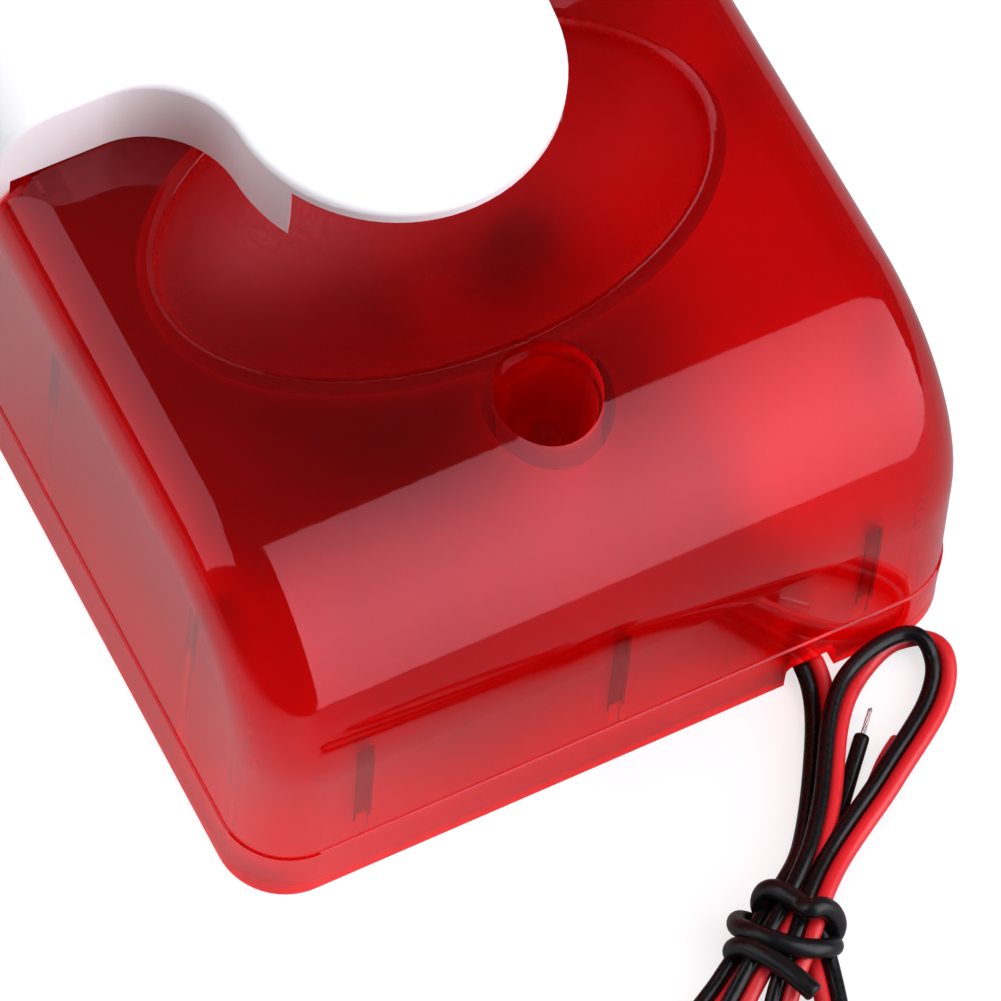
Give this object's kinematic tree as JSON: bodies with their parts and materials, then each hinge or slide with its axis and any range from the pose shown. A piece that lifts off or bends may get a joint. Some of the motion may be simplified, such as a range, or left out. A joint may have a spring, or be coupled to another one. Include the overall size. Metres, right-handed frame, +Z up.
{
  "type": "alarm siren",
  "caption": "Box-shaped wired strobe siren: red translucent lens half, white horn cover half with a tongue over a bowl, flat back and a tied twin lead.",
  "frame": {"origin": "middle of the case's flat back face, at its outer footprint's centre; the lead lies in front of the -Y end", "axes": "+Z away from the mounting surface, +Y from the lead end to the horn end, +X to the right seen from the lead end with +Z up"},
  "size_m": [0.073, 0.1776, 0.048],
  "materials": {
    "lens_red": "glossy translucent red moulding, fine frosted inside",
    "cover_white": "glossy white moulding",
    "base_white": "satin white moulding",
    "board_tan": "bare phenolic laminate",
    "screw_steel": "zinc-plated steel",
    "lamp_red": "clear red epoxy",
    "ferrite": "sintered ferrite",
    "winding_tape": "dark winding tape",
    "capacitor_sleeve": "dark shrink sleeve",
    "film_brown": "dipped epoxy",
    "moulded_black": "moulded epoxy",
    "resistor_tan": "lacquered film resistor",
    "connector_cream": "nylon",
    "horn_ivory": "satin ivory moulding",
    "piezo_brass": "rolled brass",
    "piezo_ceramic": "silvered ceramic",
    "pvc_black": "smooth cable sheath, semi-gloss",
    "pvc_red": "smooth cable sheath, semi-gloss",
    "tie_black": "soft black tie, satin",
    "tinned_copper": "tinned stranded copper"
  },
  "bodies": {
    "base": {"base_plate": "base_white", "circuit_board": "board_tan", "board_screws": "screw_steel", "strobe_lamps": "lamp_red", "transformer_core": "ferrite", "transformer_winding": "winding_tape", "capacitor_can": "capacitor_sleeve", "film_capacitors": "film_brown", "driver_transistors": "moulded_black", "control_chip": "moulded_black", "resistors": "resistor_tan", "rectifier_diode": "moulded_black", "lead_connector": "connector_cream", "inner_lead_black": "pvc_black", "inner_lead_red": "pvc_red", "cable_clip": "base_white", "clip_screws": "screw_steel", "driver_housing": "horn_ivory", "piezo_plate": "piezo_brass", "piezo_ceramic": "piezo_ceramic", "clamp_ring": "horn_ivory", "horn_duct": "horn_ivory", "driver_screws": "screw_steel", "piezo_lead_red": "pvc_red", "piezo_lead_black": "pvc_black", "supply_cable": "pvc_red", "cable_hank": "pvc_black", "hank_tie": "tie_black", "black_core_end": "pvc_black", "red_core_end": "pvc_red", "black_core_tip": "tinned_copper", "red_core_tip": "tinned_copper"},
    "cover": {"red_lens": "lens_red", "white_cover": "cover_white", "case_screws": "screw_steel", "cover_screws": "screw_steel"}
  },
  "joints": [
    {"name": "cover_lift", "type": "slide", "parent": "base", "child": "cover", "axis": [0, 0, 1], "range_m": [0, 0.06]}
  ]
}
